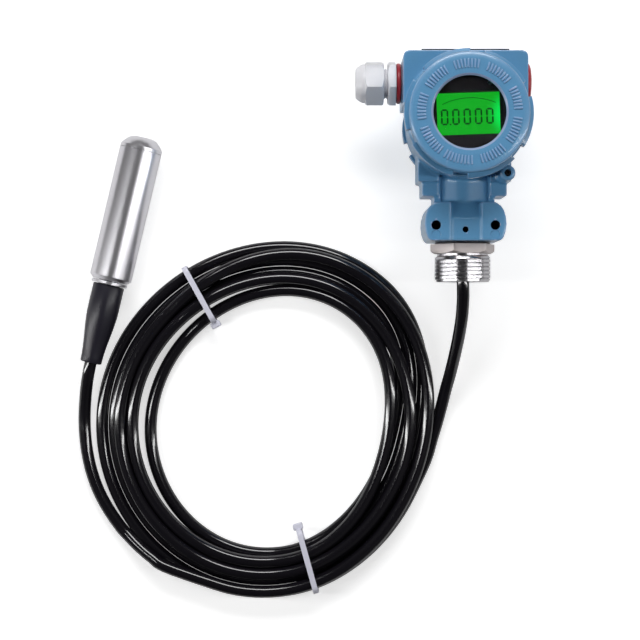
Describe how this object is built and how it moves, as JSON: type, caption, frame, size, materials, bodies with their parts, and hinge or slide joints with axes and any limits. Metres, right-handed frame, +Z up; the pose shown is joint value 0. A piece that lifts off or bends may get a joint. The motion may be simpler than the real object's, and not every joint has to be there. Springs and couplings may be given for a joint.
{
  "type": "submersible level transmitter",
  "caption": "Cast head with a green display, process thread and cable entries, joined by a tied coil of black cable to a steel pressure probe.",
  "frame": {"origin": "centre of the rear cover's flat outer face, on the table", "axes": "+Z up out of the display, +Y from the process thread towards the nameplate, +X towards the plugged cable entry"},
  "size_m": [0.2751, 0.3309, 0.104],
  "materials": {
    "blue_paint": "semi-gloss sprayed enamel with a fine orange-peel texture",
    "plate_metal": "dark satin",
    "bright_screw": "bright machined",
    "dark_plastic": "black with a slight violet sheen",
    "lcd_green": "backlit green liquid crystal panel",
    "board_green": "solder-masked board",
    "terminal_plastic": "moulded",
    "white_plastic": "white moulded nylon",
    "red_plastic": "dark red moulded",
    "grey_metal": "turned steel, the hexagon duller than the thread",
    "steel": "fine turned, bright",
    "black_rubber": "satin",
    "black_cable": "glossy extruded sheath",
    "clear_glass": "clear",
    "ceramic": "ceramic diaphragm",
    "tie_plastic": "translucent white nylon"
  },
  "bodies": {
    "head": {"housing": "blue_paint", "nameplate": "plate_metal", "nameplate_rivet_left": "bright_screw", "nameplate_rivet_right": "bright_screw", "display_screw_left": "bright_screw", "display_screw_right": "bright_screw", "terminal_screw_1": "bright_screw", "terminal_screw_2": "bright_screw", "terminal_screw_3": "bright_screw", "ground_screw": "bright_screw", "lock_screw": "bright_screw", "display_bezel": "dark_plastic", "lcd_panel": "lcd_green", "display_board": "board_green", "probe_board": "board_green", "terminal_block": "terminal_plastic", "gland_body": "white_plastic", "gland_washer": "red_plastic", "process_connector": "grey_metal", "probe_tube": "steel", "probe_collar": "steel", "connector_gasket": "black_rubber", "cable_bush": "black_rubber", "probe_boot": "black_rubber", "sensor_oring": "black_rubber", "cable_lead_head": "black_cable", "cable_coil": "black_cable", "cable_lead_probe": "black_cable", "sensor_cell": "ceramic", "tie_upper": "tie_plastic", "tie_lower": "tie_plastic"},
    "front_seal": {"front_cover_oring": "black_rubber"},
    "front_cover": {"front_cover": "blue_paint", "cover_window": "clear_glass", "window_gasket": "black_rubber", "window_ring": "bright_screw"},
    "rear_seal": {"rear_cover_oring": "black_rubber"},
    "rear_cover": {"rear_cover": "blue_paint"},
    "gland_seal": {"gland_insert": "black_rubber"},
    "gland_nut": {"gland_nut": "white_plastic"},
    "conduit_plug": {"conduit_plug": "red_plastic"},
    "cap_seal": {"probe_cap_oring": "black_rubber"},
    "probe_cap": {"probe_cap": "steel"}
  },
  "joints": [
    {"name": "front_cover_travel", "type": "slide", "parent": "head", "child": "front_seal", "axis": [0, 0, 1], "range_m": [0, 0.0122]},
    {"name": "front_cover_turn", "type": "hinge", "parent": "front_seal", "child": "front_cover", "pos_m": [0, 0, 0.088], "axis": [0, 0, 1], "range_deg": [0, 2160]},
    {"name": "rear_cover_travel", "type": "slide", "parent": "head", "child": "rear_seal", "axis": [0, 0, -1], "range_m": [0, 0.0122]},
    {"name": "rear_cover_turn", "type": "hinge", "parent": "rear_seal", "child": "rear_cover", "pos_m": [0, 0, 0.012], "axis": [0, 0, -1], "range_deg": [0, 2160]},
    {"name": "gland_nut_travel", "type": "slide", "parent": "head", "child": "gland_seal", "axis": [-1, 0, 0], "range_m": [0, 0.0077]},
    {"name": "gland_nut_turn", "type": "hinge", "parent": "gland_seal", "child": "gland_nut", "pos_m": [-0.0468, 0.0232, 0.046], "axis": [-1, 0, 0], "range_deg": [0, 1800]},
    {"name": "probe_cap_travel", "type": "slide", "parent": "head", "child": "cap_seal", "axis": [0.23, 0.9732, 0], "range_m": [0, 0.0077]},
    {"name": "probe_cap_turn", "type": "hinge", "parent": "cap_seal", "child": "probe_cap", "pos_m": [-0.19484, -0.0138, 0.013], "axis": [0.23, 0.9732, 0], "range_deg": [0, 1800]},
    {"name": "conduit_plug_pull", "type": "slide", "parent": "head", "child": "conduit_plug", "axis": [1, 0, 0], "range_m": [0, 0.014]}
  ],
  "couplings": [
    {"joint": "front_cover_travel", "follows": "front_cover_turn", "m_per_rad": 0.00031831},
    {"joint": "rear_cover_travel", "follows": "rear_cover_turn", "m_per_rad": 0.00031831},
    {"joint": "gland_nut_travel", "follows": "gland_nut_turn", "m_per_rad": 0.00023873},
    {"joint": "probe_cap_travel", "follows": "probe_cap_turn", "m_per_rad": 0.00023873}
  ]
}
